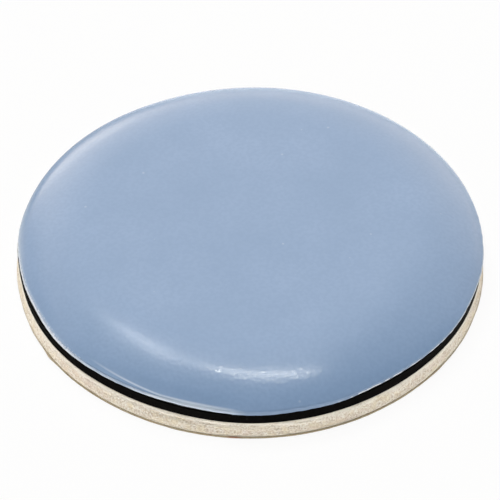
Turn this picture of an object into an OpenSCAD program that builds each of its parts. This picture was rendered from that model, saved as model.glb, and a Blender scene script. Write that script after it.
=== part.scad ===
// Self-adhesive furniture slider: a round stick-on glide, shown glide face up on its release liner.
// Millimetres, +Z up. The origin is the centre of the release liner's underside.
// From the floor up: liner, adhesive, foam, adhesive, rubber core, bonding film, glide cap.

/* [Glide cap] */
// Outside diameter of the cap, across the lip at its rim
cap_d = 40; // [30:1:60]
// Height of the cap, from the underside of its lip to the glide face
cap_h = 2.5; // [1.8:0.1:2.9]
// Thickness of the cap's skin
cap_t = 0.8; // [0.5:0.05:1.1]
// Width of the rounded shoulder that runs from the flat glide face out to the rim
shoulder_w = 6.2; // [5:0.1:10]
// Width of the roll, the tighter curve that ends the shoulder next to the rim
roll_w = 1.1; // [0.6:0.1:1.6]
// Height of the roll
roll_h = 0.85; // [0.7:0.05:1.2]
// Height of the trimmed lip at the foot of the shoulder
lip_h = 0.35; // [0.2:0.05:0.5]
// How far the lip stands out past the shoulder
lip_out = 0.1; // [0.05:0.05:0.3]
// Height of the short upright wall between the lip and the shoulder's curve
wall_h = 0.1; // [0.05:0.05:0.3]

/* [Cushion core] */
// Height of the core's edge that shows between the foam tape and the cap
core_edge_h = 1; // [0.6:0.1:2]
// How far the core's edge stands back from the cap's lip, on each side
core_inset = 0.15; // [0.05:0.05:0.4]
// Thickness of the film that bonds the cap to the core
bond_t = 0.1; // [0.05:0.05:0.2]
// Clearance on each side of the film's dome
bond_clear = 0.03; // [0.01:0.01:0.08]

/* [Mounting tape] */
// Thickness of the foam carrier
foam_t = 1.2; // [0.8:0.1:3]
// Thickness of the adhesive coat on each face of the foam
adhesive_t = 0.1; // [0.05:0.05:0.2]
// How far the foam's foot and the adhesive under it stand out past the cap's lip, on each side
tape_proud = 0.15; // [0:0.05:0.5]
// How far the foam's cut edge leans in from its foot to its top, on each side
foam_lean = 0.2; // [0:0.05:0.4]

/* [Release liner] */
// Thickness of the liner paper
liner_t = 0.2; // [0.1:0.05:0.4]
// How far the liner stands out past the foam, on each side
liner_proud = 0.05; // [0:0.05:1]

/* [Hidden] */
$fn = 180;

// Radii
cap_r = cap_d / 2;
core_r = cap_r - core_inset;
tape_r = cap_r + tape_proud;
tape_top_r = tape_r - foam_lean;
liner_r = tape_r + liner_proud;
wall_r = cap_r - lip_out;
flat_r = wall_r - shoulder_w;

// Heights of the underside of each layer, from the liner up
face_adhesive_z = liner_t;
foam_z = face_adhesive_z + adhesive_t;
core_adhesive_z = foam_z + foam_t;
core_z = core_adhesive_z + adhesive_t;
bond_z = core_z + core_edge_h;
rim_z = bond_z + bond_t;
wall_top_z = rim_z + lip_h + wall_h;
top_z = rim_z + cap_h;

// The shoulder is two arcs that meet smoothly. The crown leaves the glide face level and drops gently;
// the roll turns down from there to the top of the wall. Slopes are in degrees below level.
// The roll starts a little early and stands proud by arc_lap, so that the two arcs cross without a step.
arc_lap = 0.001;
crown_w = shoulder_w - roll_w;
crown_drop = top_z - wall_top_z - roll_h;
crown_r = (crown_w * crown_w + crown_drop * crown_drop) / (2 * crown_drop);
crown_z = top_z - crown_r;
crown_end = asin(crown_w / crown_r);
roll_end = 2 * atan2(roll_h, roll_w) - crown_end;
roll_r = norm([roll_w, roll_h]) / (2 * sin((roll_end - crown_end) / 2));
roll_at = wall_r - roll_r * sin(roll_end);
roll_z = wall_top_z - roll_r * cos(roll_end);

// How far the dome of each inner piece lies under the cap's outer face
film_outer_inset = cap_t + bond_clear;
film_inner_inset = film_outer_inset + bond_t;
core_dome_inset = film_inner_inset + bond_clear;

// A flat disc with its underside at height z
module disc(r, z, t) {
    translate([0, 0, z])
        cylinder(r = r, h = t);
}

// Half section of the dome, inset evenly from the cap's outer face and cut level at base_z
module dome_section(base_z, inset) {
    height = top_z - inset - base_z;
    join_r = flat_r + crown_w - inset * sin(crown_end);
    translate([0, base_z])
        square([flat_r, height]);
    intersection() {
        translate([flat_r, base_z])
            square([join_r - flat_r, height]);
        translate([flat_r, crown_z])
            circle(r = crown_r - inset);
    }
    intersection() {
        translate([join_r - roll_w / 2, base_z])
            square([wall_r - join_r + roll_w / 2, height]);
        translate([roll_at, roll_z])
            circle(r = roll_r + arc_lap - inset);
    }
}

// Half section of the lip, with a fully rounded outer edge
module lip_section() {
    edge_r = lip_h / 2;
    translate([0, rim_z])
        square([cap_r - edge_r, lip_h]);
    translate([cap_r - edge_r, rim_z + edge_r])
        circle(r = edge_r);
}

// Kraft paper that covers the adhesive until the slider is stuck on
module release_liner() {
    color([0.66, 0.62, 0.52])
        disc(liner_r, 0, liner_t);
}

// Adhesive coat that sticks to the furniture leg
module face_adhesive() {
    color([0.88, 0.85, 0.76])
        disc(tape_r, face_adhesive_z, adhesive_t);
}

// Die-cut disc of cream foam that carries both adhesive coats
module foam_carrier() {
    color([0.85, 0.81, 0.74])
        translate([0, 0, foam_z])
            cylinder(r1 = tape_r, r2 = tape_top_r, h = foam_t);
}

// Adhesive coat between the foam and the core
module core_adhesive() {
    color([0.88, 0.85, 0.76])
        disc(tape_top_r, core_adhesive_z, adhesive_t);
}

// Black rubber core: a flat edge band below, and a dome above that fills the cap
module cushion_core() {
    color([0.06, 0.06, 0.06])
        rotate_extrude() {
            translate([0, core_z])
                square([core_r, core_edge_h]);
            dome_section(bond_z, core_dome_inset);
        }
}

// Bonding film between the core and the cap, over the dome and out under the lip
module bond_film() {
    color([0.12, 0.12, 0.13])
        rotate_extrude()
            difference() {
                union() {
                    translate([0, bond_z])
                        square([core_r, bond_t]);
                    dome_section(bond_z, film_outer_inset);
                }
                dome_section(bond_z, film_inner_inset);
            }
}

// Blue-grey low-friction cap: flat glide face, rounded shoulder and trimmed lip
module glide_cap() {
    color([0.62, 0.70, 0.80])
        rotate_extrude()
            difference() {
                union() {
                    dome_section(rim_z, 0);
                    lip_section();
                }
                dome_section(rim_z, cap_t);
            }
}

release_liner();
face_adhesive();
foam_carrier();
core_adhesive();
cushion_core();
bond_film();
glide_cap();
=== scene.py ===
"""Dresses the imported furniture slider: a domed glide cap on a rubber core, foam tape and a paper liner."""

import math

import bpy
from mathutils import Matrix, Vector, noise


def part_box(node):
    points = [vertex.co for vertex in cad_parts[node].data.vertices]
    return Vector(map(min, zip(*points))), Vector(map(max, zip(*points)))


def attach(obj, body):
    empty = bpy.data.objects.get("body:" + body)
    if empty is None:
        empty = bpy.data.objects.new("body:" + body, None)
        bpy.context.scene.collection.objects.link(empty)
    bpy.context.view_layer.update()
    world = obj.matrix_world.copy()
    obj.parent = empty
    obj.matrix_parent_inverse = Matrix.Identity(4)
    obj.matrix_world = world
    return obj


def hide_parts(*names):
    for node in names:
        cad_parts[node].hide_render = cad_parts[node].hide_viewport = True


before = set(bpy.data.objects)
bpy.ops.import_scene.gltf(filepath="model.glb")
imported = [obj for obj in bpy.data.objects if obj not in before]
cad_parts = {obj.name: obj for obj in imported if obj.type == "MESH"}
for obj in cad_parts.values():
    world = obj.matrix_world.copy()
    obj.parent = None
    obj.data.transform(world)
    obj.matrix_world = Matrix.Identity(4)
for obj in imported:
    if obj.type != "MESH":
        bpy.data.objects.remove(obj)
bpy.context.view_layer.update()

MM = 0.001

# Sizes that the frame gives, in millimetres


def reach(node):
    """Radius, underside and top of a round CAD node, in millimetres."""
    low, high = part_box(node)
    return max(high.x, high.y) / MM, low.z / MM, high.z / MM


CAP_R, RIM_Z, TOP_Z = reach("glide_cap")
CORE_R, CORE_Z, CORE_TOP_Z = reach("cushion_core")
FILM_R, FILM_Z, FILM_TOP_Z = reach("bond_film")
TAPE_R, FOAM_Z, FOAM_TOP_Z = reach("foam_carrier")
COAT_R, COAT_Z, COAT_TOP_Z = reach("core_adhesive")
FACE_R, FACE_Z, FACE_TOP_Z = reach("face_adhesive")
LINER_R, LINER_Z, LINER_TOP_Z = reach("release_liner")

# Sizes that follow the construction, in millimetres

SHOULDER_W = 6.2  # from the end of the flat glide face out to the wall
ROLL_W = 1.1  # the outer part of the shoulder, which rolls over towards the rim
ROLL_H = 0.85
LIP_H = 0.35
LIP_OUT = 0.1
WALL_H = 0.1
SKIN = 0.8  # thickness of the cap
FILM_T = 0.1
FOAM_LEAN = TAPE_R - COAT_R  # how far the foam's cut edge leans in towards the core

FLAT_R = CAP_R - LIP_OUT - SHOULDER_W
WALL_R = CAP_R - LIP_OUT
LIP_MID_Z = RIM_Z + LIP_H / 2
LIP_LINE_Z = RIM_Z + 0.75 * LIP_H  # foot of the pale line along the lip, partly a worn edge and partly a painted highlight
LIP_TOP_Z = RIM_Z + LIP_H
WALL_TOP_Z = LIP_TOP_Z + WALL_H

# Rounding of the edges, in millimetres

EDGE_R = 0.1  # where the shoulder turns down into the wall
SOFT_EDGE = 0.05  # on the die-cut rubber and foam
COAT_EDGE = 0.02
LINER_EDGE = 0.03

# The shoulder's two arcs: a gentle crown, then the roll; slopes are in degrees

CROWN_W = SHOULDER_W - ROLL_W
CROWN_DROP = TOP_Z - WALL_TOP_Z - ROLL_H
CROWN_R = (CROWN_W**2 + CROWN_DROP**2) / (2 * CROWN_DROP)
CROWN_Z = TOP_Z - CROWN_R
CROWN_END = math.degrees(math.asin(CROWN_W / CROWN_R))
ROLL_END = 2 * math.degrees(math.atan2(ROLL_H, ROLL_W)) - CROWN_END
ROLL_R = math.hypot(ROLL_W, ROLL_H) / 2 / math.sin(math.radians(ROLL_END - CROWN_END) / 2)
ROLL_AT = WALL_R - ROLL_R * math.sin(math.radians(ROLL_END))
ROLL_Z = WALL_TOP_Z - ROLL_R * math.cos(math.radians(ROLL_END))

# How finely the pieces are made: points round the axis, and rings along each stretch of a section

TURNS = 900
PLAIN_TURNS = 360  # for thin layers that hardly show
FACE_RINGS = 12
CROWN_RINGS = 22
ROLL_RINGS = 14
EDGE_RINGS = 6
LIP_RINGS = 14
HOLLOW_RINGS = 3
CORE_FACE_RINGS = 4
CORE_CUT_RINGS = 12
SOFT_RINGS = 5
DISC_RINGS = 6
FOAM_RINGS = 26
COAT_RINGS = 3
LINER_RINGS = 6

# Innermost rings of the flat faces: radii in millimetres, and for discs a share of the radius

CAP_HUB = 0.8
HOLLOW_HUB = 0.5
HOLLOW_FROM = 0.75 * FLAT_R  # where the hollow's flat has its outermost ring
CORE_HUB = 1.0
DISC_HUB = 0.2

# Helpers for profiles


def arc(centre_r, centre_z, radius, start, end, count):
    """Points on an arc; angles are in degrees from straight up, turning outwards."""
    points = []
    for i in range(count):
        a = math.radians(start + (end - start) * i / (count - 1))
        points.append((centre_r + radius * math.sin(a), centre_z + radius * math.cos(a)))
    return points


def line(start, end, count):
    """Points from start towards end, without end itself."""
    return [
        (start[0] + (end[0] - start[0]) * i / count, start[1] + (end[1] - start[1]) * i / count)
        for i in range(count)
    ]


def dome(inset, end):
    """Points down the dome, inset from the cap's outer face, from its flat top to the slope end."""
    points = arc(FLAT_R, CROWN_Z, CROWN_R - inset, 0, CROWN_END, CROWN_RINGS)
    points += arc(ROLL_AT, ROLL_Z, ROLL_R - inset, CROWN_END, end, ROLL_RINGS)[1:]
    return points


def dome_end(inset, base_z):
    """Slope at which the dome, inset from the cap's outer face, comes down to base_z."""
    return math.degrees(math.acos((base_z - ROLL_Z) / (ROLL_R - inset)))


# Closed sections, from the axis round to the axis again


def cap_profile():
    """The cap's section: glide face, shoulder, wall, lip, underside and hollow."""
    lip_r = LIP_H / 2
    edge_r = WALL_R - EDGE_R
    stop = math.degrees(math.asin((edge_r - ROLL_AT) / (ROLL_R - EDGE_R)))
    edge_z = ROLL_Z + (ROLL_R - EDGE_R) * math.cos(math.radians(stop))
    lip_start = math.degrees(math.asin((WALL_R - CAP_R + lip_r) / lip_r))
    hollow_z = TOP_Z - SKIN
    points = [(0.0, TOP_Z)]
    points += line((CAP_HUB, TOP_Z), (FLAT_R, TOP_Z), FACE_RINGS)
    points += dome(0, stop)
    points += arc(edge_r, edge_z, EDGE_R, stop, 90, EDGE_RINGS)[1:]
    points += arc(CAP_R - lip_r, LIP_MID_Z, lip_r, lip_start, 180, LIP_RINGS)
    points += dome(SKIN, dome_end(SKIN, RIM_Z))[::-1]
    points += line((HOLLOW_FROM, hollow_z), (HOLLOW_HUB, hollow_z), HOLLOW_RINGS)
    points += [(0.0, hollow_z)]
    return points


def core_profile():
    """The core's section: dome, step and the cut edge that shows."""
    inset = TOP_Z - CORE_TOP_Z
    soft_r = CORE_R - SOFT_EDGE
    gap = 2 * SOFT_EDGE  # the cut's rings stop this far from its top and foot
    points = [(0.0, CORE_TOP_Z)]
    points += line((CORE_HUB, CORE_TOP_Z), (FLAT_R, CORE_TOP_Z), CORE_FACE_RINGS)
    points += dome(inset, dome_end(inset, FILM_Z))
    points += arc(soft_r, FILM_Z - SOFT_EDGE, SOFT_EDGE, 0, 90, SOFT_RINGS)
    points += line((CORE_R, FILM_Z - gap), (CORE_R, CORE_Z + gap), CORE_CUT_RINGS)
    points += arc(soft_r, CORE_Z + SOFT_EDGE, SOFT_EDGE, 90, 180, SOFT_RINGS)
    points += [(CORE_R / 2, CORE_Z), (0.0, CORE_Z)]
    return points


def film_profile():
    """The bonding film's section: a thin hat over the core."""
    outer = TOP_Z - FILM_TOP_Z
    inner = outer + FILM_T
    points = [(0.0, FILM_TOP_Z), (CORE_HUB, FILM_TOP_Z)]
    points += dome(outer, dome_end(outer, RIM_Z))
    points += [(FILM_R, RIM_Z), (FILM_R, FILM_Z)]
    points += dome(inner, dome_end(inner, FILM_Z))[::-1]
    points += [(CORE_HUB, FILM_TOP_Z - FILM_T), (0.0, FILM_TOP_Z - FILM_T)]
    return points


def disc_profile(r, low, high, edge, rings, lean=0.0):
    """A flat disc's section with softened edges; its wall leans in by lean towards the top."""
    top_r = r - lean
    rim = 4 * edge  # the rings of the flat faces stop this far in
    gap = 1.5 * edge  # the wall's rings stop this far from its top and foot
    points = [(0.0, high)]
    points += line((top_r * DISC_HUB, high), (top_r - rim, high), DISC_RINGS)
    points += arc(top_r - edge, high - edge, edge, 0, 90, DISC_RINGS)
    points += line((top_r, high - gap), (r, low + gap), rings)
    points += arc(r - edge, low + edge, edge, 90, 180, DISC_RINGS)
    points += line((r - rim, low), (r * DISC_HUB, low), DISC_RINGS)
    points += [(0.0, low)]
    return points


# Unevenness that the whole laminate shares: angles and widths in degrees, lengths in millimetres

UNEVEN_FROM = 0.6 * CAP_R  # inside this radius the layers are even
DIP_AT = 272  # where the rim dips
DIP_WIDTH = 22
DIP_DOWN = 0.06
BULGE_AT = 182  # where the layers under the cap stand out
BULGE_WIDTH = 13
BULGE_OUT = 0.18
TRIMS = (  # where the edge is cut short, or long if the depth is negative: angle, width and depth
    (239, 16, 0.18),
    (311, 20, 0.15),
    (110, 20, 0.12),
    (62, 20, -0.07),
    (191, 8, 0.09),
    (341, 8, 0.06),
)


def smooth(low, high, x):
    """0 below low, 1 above high, and an even curve between."""
    t = min(max((x - low) / (high - low), 0.0), 1.0)
    return t * t * (3 - 2 * t)


def bell(angle, centre, width):
    """1 at the centre, falling to 0 on both sides; angle is in radians, centre and width in degrees."""
    off = (angle - math.radians(centre) + math.pi) % (2 * math.pi) - math.pi
    return math.exp(-((off / math.radians(width)) ** 2))


def cut_depth(trims, angle):
    """How deep a list of trims cuts in at an angle."""
    return sum(depth * bell(angle, at, width) for at, width, depth in trims)


def ripple(r, angle, size, level):
    """Noise from -1 to 1 with features about size across; level is where it is cut along the axis."""
    x = r * math.cos(angle)
    y = r * math.sin(angle)
    return noise.noise(Vector((x / size, y / size, level)))


def warp(r, angle, z):
    """Moves a point of any layer: the edge is cut unevenly, dips at the front and bulges at the left."""
    height = smooth(FOAM_Z, RIM_Z, z) * (1 - smooth(LIP_TOP_Z, TOP_Z, z))
    outer = smooth(UNEVEN_FROM, CAP_R, r)
    trim = cut_depth(TRIMS, angle) * smooth(-RIM_Z, RIM_Z, z)
    dip = DIP_DOWN * bell(angle, DIP_AT, DIP_WIDTH) * height
    bulge = BULGE_OUT * bell(angle, BULGE_AT, BULGE_WIDTH) * (1 - smooth(FILM_Z, RIM_Z, z))
    return r + (bulge - trim) * outer, z - dip * outer


# Fine shape of the cap

LIP_DROOP = 0.1  # how far the trimmed lip hangs over the core on the near side
LIP_TRIMS = (  # where the cap alone is cut short or long: angle, width and depth
    (178, 12, -0.07),
    (205, 8, 0.15),
    (221, 7, -0.05),
    (232, 8, -0.04),
    (255, 9, 0.12),
    (271, 7, -0.07),
    (289, 5, -0.08),
    (299, 4, 0.05),
    (306, 7, 0.06),
    (324, 7, -0.045),
    (348, 7, -0.07),
)
FLUSH_AT = math.radians(303)  # where the shoulder runs down into the lip without a step
FLUSH_FROM = math.cos(math.radians(44))  # it starts this far to each side, and is full from the next
FLUSH_FULL = math.cos(math.radians(28))
FACE_WAVE = 0.004  # height of the faint waves on the glide face
SHOULDER_WAVE = 0.012  # what the shoulder adds to them
WAVE_SIZE = 5
CRIMP_OUT = 0.03  # crimps along the lip's edge
CRIMP_SIZE = 0.6
CRIMP_LEVEL = 3.0
UNDER_CRIMP = 0.04  # crimps on the lip's underside
UNDER_CRIMP_SIZE = 0.7
UNDER_CRIMP_LEVEL = 11.0


def cap_shape(r, angle, z):
    """The moulded cap: cut unevenly, with faint waves, a flush stretch and fine crimps along the lip."""
    rr, zz = warp(r, angle, z)
    shoulder = smooth(FLAT_R, CAP_R, r)
    rr -= cut_depth(LIP_TRIMS, angle) * shoulder
    if z > LIP_MID_Z:
        flush = smooth(FLUSH_FROM, FLUSH_FULL, math.cos(angle - FLUSH_AT))
        rr += flush * min(CAP_R - r, LIP_OUT) * smooth(WALL_R - ROLL_W, WALL_R, r)
    zz += (FACE_WAVE + SHOULDER_WAVE * shoulder) * ripple(r, angle, WAVE_SIZE, z)
    lip = 1 - smooth(LIP_H, LIP_H + 2 * WALL_H, z - RIM_Z)
    if r > WALL_R - EDGE_R:
        rr += CRIMP_OUT * lip * ripple(r, angle, CRIMP_SIZE, CRIMP_LEVEL)
    if r > CORE_R and z < LIP_MID_Z:
        over = smooth(CORE_R, CAP_R, r)
        zz -= UNDER_CRIMP * over * ripple(r, angle, UNDER_CRIMP_SIZE, UNDER_CRIMP_LEVEL)
        zz -= LIP_DROOP * bell(angle, DIP_AT, DIP_WIDTH) * over
    return rr, zz


# Fine shape of the layers under the cap

CORE_PROUD = 0.09  # how far the soft cut edge swells, out to the top of the foam
NIP_AT = 255  # where the foot of the core and the top of the foam are pinched in
NIP_WIDTH = 9
NIP_IN = 0.085
NIP_FROM = 0.9 * COAT_R  # inside this radius the adhesive isn't pinched
MARK_OUT = 0.012  # upright cutting marks on the rubber
MARK_SIZE = 0.5
MARK_H = 2.5
FOAM_CUT_R = TAPE_R - FOAM_LEAN - 3 * SOFT_EDGE  # outside this radius the foam's cut edge is ragged
LAYER_OUT = 0.03  # layers along the foam's cut edge
LAYER_SIZE = 2.2
LAYER_H = 0.22
PIT_OUT = 0.02  # small pits in it
PIT_SIZE = 0.45
PIT_H = 0.3
PIT_LEVEL = 7
CUT_W = 1  # width of the liner's margin that its uneven cut moves
CUT_WAVE = 0.03
CUT_WAVE_SIZE = 1.6
CUT_WAVE_LEVEL = 5.0
CUT_NICK = 0.012
CUT_NICK_SIZE = 0.4
CUT_NICK_LEVEL = 9.0
BURR_AT = 214  # one small burr on the liner's edge
BURR_WIDTH = 2.2
BURR_OUT = 0.08


def core_shape(r, angle, z):
    """The die-cut rubber edge: swollen, pinched in at one place, with faint upright cutting marks."""
    rr, zz = warp(r, angle, z)
    if r > CORE_R - SOFT_EDGE:
        rr += MARK_OUT * ripple(r, angle, MARK_SIZE, z / MARK_H)
        rr += CORE_PROUD - NIP_IN * bell(angle, NIP_AT, NIP_WIDTH) * (1 - smooth(CORE_Z, FILM_Z, z))
    return rr, zz


def coat_shape(r, angle, z):
    """The adhesive between foam and core, pinched in with them."""
    rr, zz = warp(r, angle, z)
    return rr - NIP_IN * bell(angle, NIP_AT, NIP_WIDTH) * smooth(NIP_FROM, COAT_R, r), zz


def foam_shape(r, angle, z):
    """The die-cut foam edge: layered, slightly ragged, with small pits, and pinched in at one place."""
    rr, zz = warp(r, angle, z)
    if r > FOAM_CUT_R:
        layers = ripple(r, angle, LAYER_SIZE, z / LAYER_H)
        pits = ripple(r, angle, PIT_SIZE, z / PIT_H + PIT_LEVEL)
        rr += LAYER_OUT * layers + PIT_OUT * pits
        rr -= NIP_IN * bell(angle, NIP_AT, NIP_WIDTH) * smooth(FOAM_Z, FOAM_TOP_Z, z)
    return rr, zz


def liner_shape(r, angle, z):
    """The paper liner: a slightly wavy cut edge with one small burr."""
    rr, zz = warp(r, angle, z)
    if r > TAPE_R - CUT_W:
        rr += CUT_WAVE * ripple(r, angle, CUT_WAVE_SIZE, CUT_WAVE_LEVEL)
        rr += CUT_NICK * ripple(r, angle, CUT_NICK_SIZE, CUT_NICK_LEVEL)
        rr += BURR_OUT * bell(angle, BURR_AT, BURR_WIDTH)
    return rr, zz


# Meshes


def turned(name, profile, shape, turns=TURNS):
    """A closed piece turned about Z from a closed section, each point moved by the function shape."""
    rings = [p for p in profile if p[0] > 0]
    verts = []
    for r, z in rings:
        for k in range(turns):
            a = 2 * math.pi * k / turns
            rr, zz = shape(r, a, z)
            verts.append((rr * math.cos(a) * MM, rr * math.sin(a) * MM, zz * MM))
    first = len(verts)
    for _, z in (profile[0], profile[-1]):
        verts.append((0.0, 0.0, shape(0.0, 0.0, z)[1] * MM))
    faces = []
    for i in range(len(rings) - 1):
        low = i * turns
        high = low + turns
        for k in range(turns):
            n = (k + 1) % turns
            faces.append((low + k, high + k, high + n, low + n))
    last = (len(rings) - 1) * turns
    for k in range(turns):
        n = (k + 1) % turns
        faces.append((first, k, n))
        faces.append((first + 1, last + n, last + k))
    mesh = bpy.data.meshes.new(name)
    mesh.from_pydata(verts, [], faces)
    mesh.validate()
    mesh.shade_smooth()
    piece = bpy.data.objects.new(name, mesh)
    bpy.context.scene.collection.objects.link(piece)
    return piece


# Materials


class Tree:
    """A node tree, with short calls that add nodes to it."""

    def __init__(self, owner):
        owner.use_nodes = True
        self.tree = owner.node_tree

    def add(self, kind, **values):
        """A new node with some of its settings changed."""
        node = self.tree.nodes.new(kind)
        for key, value in values.items():
            setattr(node, key, value)
        return node

    def join(self, source, target):
        """Links a node's output to another node's input."""
        self.tree.links.new(source, target)

    def feed(self, socket, value):
        """Sets a socket to a plain value or joins another node's output to it."""
        if isinstance(value, bpy.types.NodeSocket):
            self.join(value, socket)
        else:
            socket.default_value = value

    def calc(self, operation, *values):
        """The result of one Math node; each value is a number or another node's output."""
        node = self.add("ShaderNodeMath", operation=operation)
        for socket, value in zip(node.inputs, values):
            self.feed(socket, value)
        return node.outputs["Value"]

    def sum(self, first, second, share):
        """first plus share times second; each is a number or an output."""
        return self.calc("MULTIPLY_ADD", second, share, first)

    def product(self, first, second):
        """first times second; each is a number or an output."""
        return self.calc("MULTIPLY", first, second)

    def span(self, source, low, high, to_low=0.0, to_high=1.0):
        """Maps low..high of a value to to_low..to_high, clamped."""
        node = self.add("ShaderNodeMapRange")
        self.join(source, node.inputs["Value"])
        for key, value in (("From Min", low), ("From Max", high), ("To Min", to_low), ("To Max", to_high)):
            node.inputs[key].default_value = value
        return node.outputs["Result"]

    def along(self, source, direction):
        """How far a vector reaches along a direction."""
        node = self.add("ShaderNodeVectorMath", operation="DOT_PRODUCT")
        self.join(source, node.inputs[0])
        node.inputs[1].default_value = direction
        return node.outputs["Value"]

    def axes(self, source):
        """The X, Y and Z of a vector, by name."""
        node = self.add("ShaderNodeSeparateXYZ")
        self.join(source, node.inputs["Vector"])
        return node.outputs

    def plain(self, kind, **values):
        """A simple shader with some of its inputs set; a value can be another node's output."""
        node = self.add(kind)
        for key, value in values.items():
            self.feed(node.inputs[key], value)
        return node.outputs[0]

    def mix(self, factor, first, second):
        """A shader between first and second."""
        node = self.add("ShaderNodeMixShader")
        for socket, value in zip(node.inputs, (factor, first, second)):
            self.join(value, socket)
        return node.outputs["Shader"]


class Nodes(Tree):
    """A procedural material: one Principled shader and short calls that feed it."""

    def __init__(self, name):
        self.mat = bpy.data.materials.new(name)
        super().__init__(self.mat)
        self.shader = self.tree.nodes["Principled BSDF"]
        self.place = self.add("ShaderNodeTexCoord").outputs["Object"]

    def coords(self, size_mm):
        """Object coordinates in units of size_mm, a number or one for each axis."""
        size = size_mm if isinstance(size_mm, tuple) else (size_mm,) * 3
        node = self.add("ShaderNodeMapping")
        node.inputs["Scale"].default_value = [1 / (s * MM) for s in size]
        self.join(self.place, node.inputs["Vector"])
        return node.outputs["Vector"]

    def noise(self, size_mm, detail=2.0, rough=0.5):
        """Noise from 0 to 1 whose features are about size_mm across."""
        node = self.add("ShaderNodeTexNoise")
        node.inputs["Scale"].default_value = 1.0
        node.inputs["Detail"].default_value = detail
        node.inputs["Roughness"].default_value = rough
        self.join(self.coords(size_mm), node.inputs["Vector"])
        return node.outputs["Fac"]

    def cells(self, size_mm):
        """Distance to the nearest cell centre, for specks and pits."""
        node = self.add("ShaderNodeTexVoronoi")
        node.inputs["Scale"].default_value = 1.0
        self.join(self.coords(size_mm), node.inputs["Vector"])
        return node.outputs["Distance"]

    def blend(self, factor, first, second):
        """A colour between first and second; each is a colour or another node's output."""
        node = self.add("ShaderNodeMix", data_type="RGBA")
        self.join(factor, node.inputs[0])
        self.feed(node.inputs[6], first)
        self.feed(node.inputs[7], second)
        return node.outputs[2]

    def towards(self, angle):
        """Distance in millimetres from the axis towards an angle, in degrees anticlockwise from +X."""
        direction = (math.cos(math.radians(angle)), math.sin(math.radians(angle)), 0)
        return self.along(self.coords(1.0), direction)

    def sector(self, sector, outside=0.0, inside=1.0):
        """A mask for one of the sectors below: outside up to its start, and inside where it is full."""
        angle, start, full = sector
        return self.span(self.towards(angle), start, full, outside, inside)

    def out(self):
        """Distance from the axis in millimetres."""
        flat = self.add("ShaderNodeVectorMath", operation="MULTIPLY")
        self.join(self.coords(1.0), flat.inputs[0])
        flat.inputs[1].default_value = (1, 1, 0)
        node = self.add("ShaderNodeVectorMath", operation="LENGTH")
        self.join(flat.outputs["Vector"], node.inputs[0])
        return node.outputs["Value"]

    def height(self):
        """Height in the part's own frame, in millimetres."""
        return self.axes(self.coords(1.0))["Z"]

    def bump(self, height, depth_mm):
        """Gives the shader fine relief, depth_mm deep."""
        node = self.add("ShaderNodeBump")
        node.inputs["Strength"].default_value = 1.0
        node.inputs["Distance"].default_value = depth_mm * MM
        self.join(height, node.inputs["Height"])
        self.join(node.outputs["Normal"], self.shader.inputs["Normal"])

    def set(self, name, value):
        """Sets one of the shader's sockets to a number or to another node's output."""
        self.feed(self.shader.inputs[name], value)


def srgb(red, green, blue):
    """Linear colour from 0 to 255 display values, by the sRGB curve."""
    made = []
    for v in (red, green, blue):
        c = v / 255
        made.append(c / 12.92 if c <= 0.04045 else ((c + 0.055) / 1.055) ** 2.4)
    return (*made, 1.0)


# Sectors of the edge: the angle that each one faces, and the distances towards it, in millimetres, where it
# starts and where it is full

# The next four sectors mark painted shade and painted highlights on the lip
PAINTED_SHADE_SIDE = (303, 15.0, 17.5)
LINE_FADES_FRONT = (287, 16.8, 18.8)
LINE_FADES_RIGHT = (308, 18.3, 19.4)
PAINTED_TICKS_SIDE = (318, 16.8, 18.6)
# The next six sectors mark painted highlights and painted reflections on the left of the edge
LIFTED = (200, 13.1, 17.3)
PAINTED_LINE_SIDE = (246, 18.6, 19.5)
MERGED = (255.5, 19.5, 19.75)
PALE_LEFT = (175, 18.6, 19.7)
PALE_NEAR_LEFT = (200, 18.3, 19.4)
PAINTED_FRINGE_SIDE = (205, 18.2, 19.2)
LINER_FRONT = (270, 7.0, 13.0)
STAINED = (266, LINER_R - 1, LINER_R - 0.5)
STAIN_ACROSS = 356  # the stain's width runs towards this angle

# Bands of the edge: the heights in millimetres, or for the liner the radii, where each one starts and where
# it is full

# The next three bands hold painted shade, the lip's pale line (partly worn, partly a painted highlight) and
# painted highlight ticks
PAINTED_SHADE_BAND = (WALL_TOP_Z + 0.06, WALL_TOP_Z - 0.16)
WORN_SHEEN_BAND = (LIP_TOP_Z, LIP_LINE_Z)
PAINTED_TICK_BAND = (LIP_LINE_Z, LIP_MID_Z)
# The next seven bands hold painted highlights and painted reflections on the left of the edge
PAINTED_LINE_TOP = (WALL_TOP_Z + 0.1, WALL_TOP_Z + 0.03)
PAINTED_LINE_FOOT = (WALL_TOP_Z - 0.06, WALL_TOP_Z - 0.02)
PAINTED_LINE_LIFT = 0.33  # how much higher the painted highlight line runs in the sector LIFTED
MERGED_BAND = (WALL_TOP_Z + 0.12, WALL_TOP_Z - 0.02)
PALE_WIDE = (WALL_TOP_Z + 0.5, LIP_TOP_Z)
PALE_NARROW = (WALL_TOP_Z + 0.2, LIP_TOP_Z)
PAINTED_FRINGE_BAND = (WALL_TOP_Z + 0.38, WALL_TOP_Z + 0.2)
SLOPE_BAND = (TOP_Z - 0.08, TOP_Z - 0.3)
# Painted highlight along the foam's top edge
TOP_LIGHT_BAND = (FOAM_TOP_Z - 0.55, FOAM_TOP_Z - 0.05)
LINER_BAND = (LINER_R - 0.25, LINER_R - 0.12)


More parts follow.
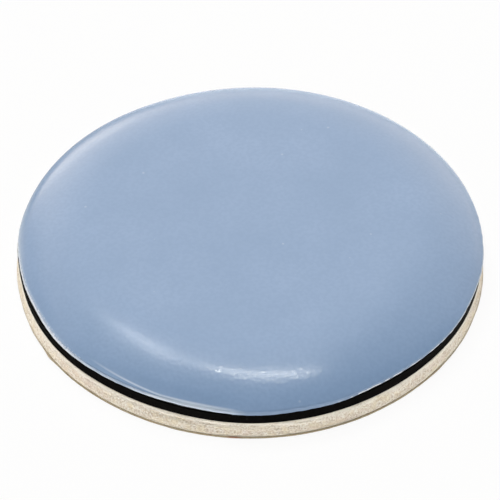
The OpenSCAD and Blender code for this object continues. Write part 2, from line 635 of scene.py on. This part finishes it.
def lip_wear_and_painted_light(n, up, base):
    """Colours the lip: painted shade where it runs flush, a pale line elsewhere that is partly a worn edge
    and partly a painted highlight, and painted highlight ticks at the near right.
    """
    # Painted shade: a darker blue on the wall where the shoulder runs flush into the lip
    wall = n.span(up, *PAINTED_SHADE_BAND)
    base = n.blend(n.product(wall, n.sector(PAINTED_SHADE_SIDE, inside=0.5)), base, srgb(94, 117, 147))
    # A pale line along the lip, partly a paler worn edge and partly a painted highlight, fading out at the
    # front and the right
    upper = n.span(up, *WORN_SHEEN_BAND)
    front = n.sector(LINE_FADES_FRONT, outside=1.0, inside=0.05)
    right = n.sector(LINE_FADES_RIGHT, outside=1.0, inside=0.05)
    worn_and_sheen = n.product(n.span(n.noise(3.0), 0.35, 0.6, to_low=0.4), n.product(front, right))
    base = n.blend(n.product(upper, worn_and_sheen), base, srgb(214, 226, 238))
    # Painted highlight: pale ticks along the lip's foot at the near right
    painted_ticks = n.product(n.span(n.noise(0.6), 0.42, 0.56, to_low=0.1), n.sector(PAINTED_TICKS_SIDE))
    foot = n.span(up, *PAINTED_TICK_BAND)
    return n.blend(n.product(foot, painted_ticks), base, srgb(232, 238, 245))


def left_painted_highlights(n, up, base):
    """Paints highlights on the edge above the lip on the left: a pale line, pale stretches of painted
    reflection and a ragged pale fringe.
    """
    # Painted highlight: a pale line where the shoulder turns down into the wall
    highlight_pale = srgb(206, 219, 234)
    level = n.sum(up, n.sector(LIFTED, inside=PAINTED_LINE_LIFT), share=-1.0)
    edge_line = n.product(n.span(level, *PAINTED_LINE_TOP), n.span(level, *PAINTED_LINE_FOOT))
    base = n.blend(n.product(edge_line, n.sector(PAINTED_LINE_SIDE, inside=0.65)), base, highlight_pale)
    # Painted highlight: the edge line and the lip line merge into one pale band here
    wall = n.span(up, *MERGED_BAND)
    base = n.blend(n.product(wall, n.sector(MERGED, inside=0.7)), base, highlight_pale)
    # Painted reflection: pale stretches on the roll at the left, where light would mirror
    for sector, band in ((PALE_LEFT, PALE_WIDE), (PALE_NEAR_LEFT, PALE_NARROW)):
        glow = n.product(n.span(up, *band, to_high=0.6), n.sector(sector))
        base = n.blend(glow, base, srgb(214, 224, 236))
    # Painted highlight: a pale fringe with ragged teeth above the lip
    teeth = n.span(n.sum(up, n.noise(0.18, detail=1.0), share=0.7), *PAINTED_FRINGE_BAND)
    return n.blend(n.product(teeth, n.sector(PAINTED_FRINGE_SIDE, inside=0.8)), base, srgb(230, 236, 245))


def glide_plastic():
    """Blue-grey low-friction plastic: satin, finely grained, with a few pale specks, painted shade and
    painted highlights along the lip, and a partly worn lip edge.
    """
    n = Nodes("glide_plastic")
    cloud = n.span(n.noise(6.0, detail=3.0), 0.3, 0.7)
    grain = n.noise(0.3, detail=0.0)
    base = n.blend(cloud, srgb(131, 159, 194), srgb(137, 164, 199))
    base = n.blend(n.span(grain, 0.35, 0.65, to_high=0.3), base, srgb(126, 154, 189))
    specks = n.span(n.cells(2.6), 0.03, 0.05, 0.28, 0.0)
    base = n.blend(specks, base, srgb(190, 203, 220))
    up = n.height()
    base = lip_wear_and_painted_light(n, up, base)
    base = left_painted_highlights(n, up, base)
    n.set("Base Color", base)
    sloped = n.span(up, *SLOPE_BAND, to_low=0.2)
    glints = n.product(n.span(n.noise(0.25, detail=0.0), 0.5, 0.65), sloped)
    n.set("Roughness", n.span(glints, 0.0, 1.0, 0.23, 0.15))
    n.set("IOR", 1.55)
    n.bump(n.product(grain, sloped), depth_mm=0.009)
    return n.mat


def black_rubber():
    """Matt black rubber with upright cutting marks and a little pale dust."""
    n = Nodes("black_rubber")
    marks = n.noise((0.3, 0.3, 1.6), detail=3.0)
    dust = n.span(n.cells(0.9), 0.04, 0.09, 0.3, 0.0)
    base = n.blend(n.span(marks, 0.4, 0.7), srgb(3, 2, 2), srgb(12, 10, 10))
    base = n.blend(dust, base, srgb(62, 60, 58))
    n.set("Base Color", base)
    n.set("Roughness", n.span(marks, 0.3, 0.7, 0.55, 0.75))
    n.set("Specular IOR Level", 0.03)
    n.bump(n.sum(marks, n.noise(0.12), share=0.6), depth_mm=0.03)
    return n.mat


def bond_film():
    """Dark bonding film, a hairline under the cap's lip."""
    n = Nodes("bond_film")
    grain = n.noise(0.3)
    n.set("Base Color", n.blend(grain, srgb(22, 21, 22), srgb(36, 35, 37)))
    n.set("Roughness", n.span(grain, 0.3, 0.7, 0.5, 0.7))
    n.bump(grain, depth_mm=0.01)
    return n.mat


def cream_foam():
    """Cream foam: speckled closed cells and faint layers along the die-cut edge, with a painted highlight
    that makes it paler at its top.
    """
    n = Nodes("cream_foam")
    layers = n.noise((1.1, 1.1, 0.35), detail=3.0, rough=0.6)
    fine = n.noise((0.16, 0.16, 0.14), detail=2.0, rough=0.6)
    patches = n.noise(1.8)
    tint = n.noise(0.8)
    base = n.blend(n.span(layers, 0.36, 0.64), srgb(230, 216, 197), srgb(247, 236, 220))
    base = n.blend(n.span(fine, 0.5, 0.62), base, srgb(255, 250, 237))
    base = n.blend(n.span(fine, 0.48, 0.32, to_high=0.7), base, srgb(190, 172, 142))
    base = n.blend(n.span(tint, 0.45, 0.65, to_high=0.45), base, srgb(246, 232, 198))
    base = n.blend(n.span(patches, 0.5, 0.72, to_high=0.4), base, srgb(238, 217, 203))
    tan = n.span(n.cells(0.9), 0.04, 0.12, 0.4, 0.0)
    base = n.blend(tan, base, srgb(186, 168, 134))
    # Painted highlight: the foam's top edge is paler, where light from above catches it
    upper = n.span(n.height(), *TOP_LIGHT_BAND)
    painted_top_light = n.product(upper, n.span(layers, 0.3, 0.5))
    base = n.blend(n.span(painted_top_light, 0.0, 1.0, to_high=0.85), base, srgb(252, 247, 235))
    n.set("Base Color", base)
    n.set("Roughness", n.span(fine, 0.3, 0.7, 0.8, 0.95))
    n.set("Specular IOR Level", 0.3)
    n.bump(n.sum(layers, fine, share=0.8), depth_mm=0.06)
    return n.mat


def adhesive():
    """Pressure-sensitive adhesive: pale, slightly wet-looking, with faint coating streaks."""
    n = Nodes("adhesive")
    streaks = n.noise((0.4, 5.0, 1.0), detail=3.0)
    pebbles = n.noise(0.35)
    base = n.blend(n.span(streaks, 0.35, 0.65), srgb(232, 224, 206), srgb(242, 235, 219))
    n.set("Base Color", base)
    n.set("Roughness", n.span(pebbles, 0.3, 0.7, 0.3, 0.5))
    n.bump(n.sum(streaks, pebbles, share=0.5), depth_mm=0.015)
    return n.mat


def liner_paper():
    """Kraft liner paper: brown fibres and flecks, paler cut edges at the sides, and one small stain."""
    n = Nodes("liner_paper")
    fibres = n.noise((0.12, 1.2, 0.12), detail=4.0, rough=0.6)
    cross = n.noise((1.0, 0.14, 0.14), detail=4.0, rough=0.6)
    patches = n.noise(3.0)
    base = n.blend(n.span(fibres, 0.35, 0.65), srgb(164, 148, 116), srgb(186, 170, 138))
    base = n.blend(n.span(cross, 0.5, 0.72, to_high=0.6), base, srgb(148, 128, 96))
    base = n.blend(n.span(patches, 0.5, 0.75, to_high=0.5), base, srgb(166, 158, 136))
    flecks = n.span(n.cells(1.3), 0.06, 0.14, 0.6, 0.0)
    base = n.blend(flecks, base, srgb(124, 92, 60))
    edge = n.span(n.out(), *LINER_BAND)
    sides = n.product(edge, n.sector(LINER_FRONT, outside=0.7, inside=0.0))
    base = n.blend(sides, base, srgb(232, 222, 206))
    across = n.towards(STAIN_ACROSS)
    stain = n.product(n.span(across, -0.7, -0.2), n.span(across, 0.7, 0.2))
    base = n.blend(n.product(stain, n.sector(STAINED, inside=0.8)), base, srgb(158, 104, 70))
    n.set("Base Color", base)
    n.set("Roughness", n.span(fibres, 0.3, 0.7, 0.45, 0.65))
    n.bump(n.sum(fibres, cross, share=0.7), depth_mm=0.02)
    return n.mat


MATERIALS = {
    "glide_plastic": glide_plastic(),
    "black_rubber": black_rubber(),
    "bond_film": bond_film(),
    "cream_foam": cream_foam(),
    "adhesive": adhesive(),
    "liner_paper": liner_paper(),
}

# Pieces, each in place of its CAD node


def place(piece, node, body, slot):
    """Finishes a piece and sets it in place of its CAD node."""
    piece.data.materials.append(MATERIALS[slot])
    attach(piece, body)
    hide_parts(node)


place(turned("cap_shell", cap_profile(), cap_shape), "glide_cap", "slider", "glide_plastic")
place(turned("core_body", core_profile(), core_shape), "cushion_core", "slider", "black_rubber")
place(turned("film_sheet", film_profile(), warp, PLAIN_TURNS), "bond_film", "slider", "bond_film")
foam_section = disc_profile(TAPE_R, FOAM_Z, FOAM_TOP_Z, SOFT_EDGE, FOAM_RINGS, FOAM_LEAN)
foam = turned("foam_pad", foam_section, foam_shape)
place(foam, "foam_carrier", "slider", "cream_foam")
coat_section = disc_profile(COAT_R, COAT_Z, COAT_TOP_Z, COAT_EDGE, COAT_RINGS)
place(turned("core_coat", coat_section, coat_shape, PLAIN_TURNS), "core_adhesive", "slider", "adhesive")
face_section = disc_profile(FACE_R, FACE_Z, FACE_TOP_Z, COAT_EDGE, COAT_RINGS)
place(turned("face_coat", face_section, warp, PLAIN_TURNS), "face_adhesive", "slider", "adhesive")
liner_section = disc_profile(LINER_R, LINER_Z, LINER_TOP_Z, LINER_EDGE, LINER_RINGS)
place(turned("liner_disc", liner_section, liner_shape), "release_liner", "liner", "liner_paper")

# Floor

FLOOR_SIDE = 6.0
FLOOR_WHITE = 0.92  # share of plain white in what the camera sees of it
FLOOR_GREY = (0.86, 0.86, 0.86, 1)
FLOOR_DARK = (0.05, 0.05, 0.05, 1)
FLOOR_TURN = 12 * MM  # over this distance from the axis, to the front and back, its light changes
FLOOR_SHINE = 0.4  # its own light in reflections, at the back
FLOOR_LEFT = -10 * MM  # where it starts to be darker in reflections on the left
FLOOR_FAR_LEFT = -18 * MM  # where it is darkest
FLOOR_LEFT_SHARE = 0.6  # share of the dark shade there


def floor_material():
    """Pale floor that reads as a white sweep and keeps the object's shadow.

    It throws soft light on the near side; in reflections it is lighter at the back and darker on the left.
    """
    mat = bpy.data.materials.new("floor")
    t = Tree(mat)
    t.tree.nodes.clear()
    path = t.add("ShaderNodeLightPath").outputs
    axes = t.axes(t.add("ShaderNodeTexCoord").outputs["Object"])
    bounce = t.product(path["Is Diffuse Ray"], t.span(axes["Y"], FLOOR_TURN, -FLOOR_TURN))
    rear = t.span(axes["Y"], 0.0, FLOOR_TURN, 0.0, FLOOR_SHINE)
    shine = t.sum(bounce, path["Is Glossy Ray"], rear)
    lit = t.add("ShaderNodeAddShader")
    t.join(t.plain("ShaderNodeBsdfDiffuse", Color=FLOOR_GREY), lit.inputs[0])
    t.join(t.plain("ShaderNodeEmission", Strength=shine), lit.inputs[1])
    left = t.span(axes["X"], FLOOR_LEFT, FLOOR_FAR_LEFT, 0.0, FLOOR_LEFT_SHARE)
    dark = t.plain("ShaderNodeBsdfDiffuse", Color=FLOOR_DARK)
    seen = t.mix(t.product(left, path["Is Glossy Ray"]), lit.outputs["Shader"], dark)
    white = t.plain("ShaderNodeEmission", Strength=1.0)
    swept = t.mix(t.product(path["Is Camera Ray"], FLOOR_WHITE), seen, white)
    t.join(swept, t.add("ShaderNodeOutputMaterial").inputs["Surface"])
    return mat


def make_floor():
    """A square floor under the object."""
    half = FLOOR_SIDE / 2
    mesh = bpy.data.meshes.new("floor")
    corners = [(-half, -half, 0), (half, -half, 0), (half, half, 0), (-half, half, 0)]
    mesh.from_pydata(corners, [], [(0, 1, 2, 3)])
    floor = bpy.data.objects.new("floor", mesh)
    floor.data.materials.append(floor_material())
    bpy.context.scene.collection.objects.link(floor)


# Light

WORLD_TINT = (1, 0.88, 0.76, 1)
WORLD_WHITE = (1, 1, 1, 1)
WORLD_FRONT = 0.03
WORLD_BACK = 0.35
WORLD_MIRRORED = 7.6  # how much brighter the pale backdrop is in reflections
WORLD_TURN = -0.35  # where, from -1 at the front to 1 at the back, the light starts to rise
WORLD_AT = math.radians(105)  # the brightest side

# Dark cards low on the left and at the back: middle, where they start and are full, and what they let by

CARDS = (
    (Vector((-0.83, 0.53, 0.16)).normalized(), 0.88, 0.96, 0.55),
    (Vector((0.08, 1.0, 0.2)).normalized(), 0.92, 0.985, 0.7),
)

# Lamps: name, place, direction of the first side, lengths of the sides in metres, watts, whether the lamp
# shows in reflections, and tint

LAMPS = (
    ("top_softbox", (-0.08, 0.19, 0.7), (1, 0, 0), (0.5, 0.4), 3.8, False, (1, 1, 1)),
    ("front_strip", (0.0075, 0.001, 0.32), (1, -0.235, 0), (0.127, 0.008), 0.152, True, (1, 0.97, 0.88)),
    ("left_strip", (-0.103, 0.077, 0.32), (-0.28, 0.96, 0), (0.105, 0.03), 0.073, True, (1, 1, 1)),
    ("left_fill", (-0.4, -0.35, 0.25), (1, -0.9, 0), (0.3, 0.3), 0.2, True, (1, 1, 1)),
    ("right_fill", (0.445, -0.16, 0.2), (1, 2.8, 0), (0.3, 0.3), 0.15, False, (0.88, 0.95, 1)),
    ("far_panel", (-0.31, 0.73, 0.11), (0.92, 0.39, 0), (0.28, 0.1), 0.1, True, (1, 0.94, 0.84)),
)


def make_world():
    """Soft surrounding light, brighter towards the back, with a white background for the camera."""
    world = bpy.data.worlds.new("studio")
    bpy.context.scene.world = world
    t = Tree(world)
    t.tree.nodes.clear()
    path = t.add("ShaderNodeLightPath").outputs
    way = t.add("ShaderNodeTexCoord").outputs["Generated"]
    back = t.along(way, (math.cos(WORLD_AT), math.sin(WORLD_AT), 0))
    lit = t.span(back, WORLD_TURN, 1.0, WORLD_FRONT, WORLD_BACK)
    for middle, start, full, passed in CARDS:
        lit = t.product(lit, t.span(t.along(way, middle), start, full, 1.0, passed))
    mirrored = t.span(path["Is Glossy Ray"], 0.0, 1.0, 1.0, WORLD_MIRRORED)
    soft = t.plain("ShaderNodeBackground", Color=WORLD_TINT, Strength=t.product(lit, mirrored))
    white = t.plain("ShaderNodeBackground", Color=WORLD_WHITE)
    shown = t.mix(path["Is Camera Ray"], soft, white)
    t.join(shown, t.add("ShaderNodeOutputWorld").inputs["Surface"])


def make_lamp(name, place_m, along, size_m, watts, mirrored, tint):
    """A rectangular light that faces the object, its first side set along the given direction.

    A lamp that isn't mirrored lights the object and leaves no highlight.
    """
    data = bpy.data.lights.new(name, "AREA")
    data.shape = "RECTANGLE"
    data.size, data.size_y = size_m
    data.energy = watts
    data.color = tint
    lamp = bpy.data.objects.new(name, data)
    z = Vector(place_m).normalized()
    y = z.cross(Vector(along)).normalized()
    x = y.cross(z)
    lamp.matrix_world = Matrix.Translation(place_m) @ Matrix((x, y, z)).transposed().to_4x4()
    lamp.visible_glossy = mirrored
    bpy.context.scene.collection.objects.link(lamp)


# Camera

IMAGE_PX = 500
FOCAL_PX = 1841
SENSOR_MM = 36
CAMERA_EL = math.radians(44.33)
CAMERA_FAR = 160 * MM
CAMERA_AIM = Vector((-0.06, 0, 1.27)) * MM
CAMERA_ROLL = math.radians(-0.38)
CLIP_NEAR = 0.01
CLIP_FAR = 20


def make_camera():
    """The camera that the photo was taken with, as fitted to the slider's rims."""
    data = bpy.data.cameras.new("camera")
    data.sensor_width = SENSOR_MM
    data.lens = FOCAL_PX / IMAGE_PX * SENSOR_MM
    data.clip_start = CLIP_NEAR
    data.clip_end = CLIP_FAR
    camera = bpy.data.objects.new("camera", data)
    back = Vector((0, -math.cos(CAMERA_EL), math.sin(CAMERA_EL)))
    turn = (-back).to_track_quat("-Z", "Y").to_matrix().to_4x4()
    roll = Matrix.Rotation(CAMERA_ROLL, 4, "Z")
    camera.matrix_world = Matrix.Translation(CAMERA_AIM + back * CAMERA_FAR) @ turn @ roll
    bpy.context.scene.collection.objects.link(camera)
    bpy.context.scene.camera = camera


make_floor()
make_world()
for lamp_values in LAMPS:
    make_lamp(*lamp_values)
make_camera()
bpy.context.scene.view_settings.view_transform = "Standard"
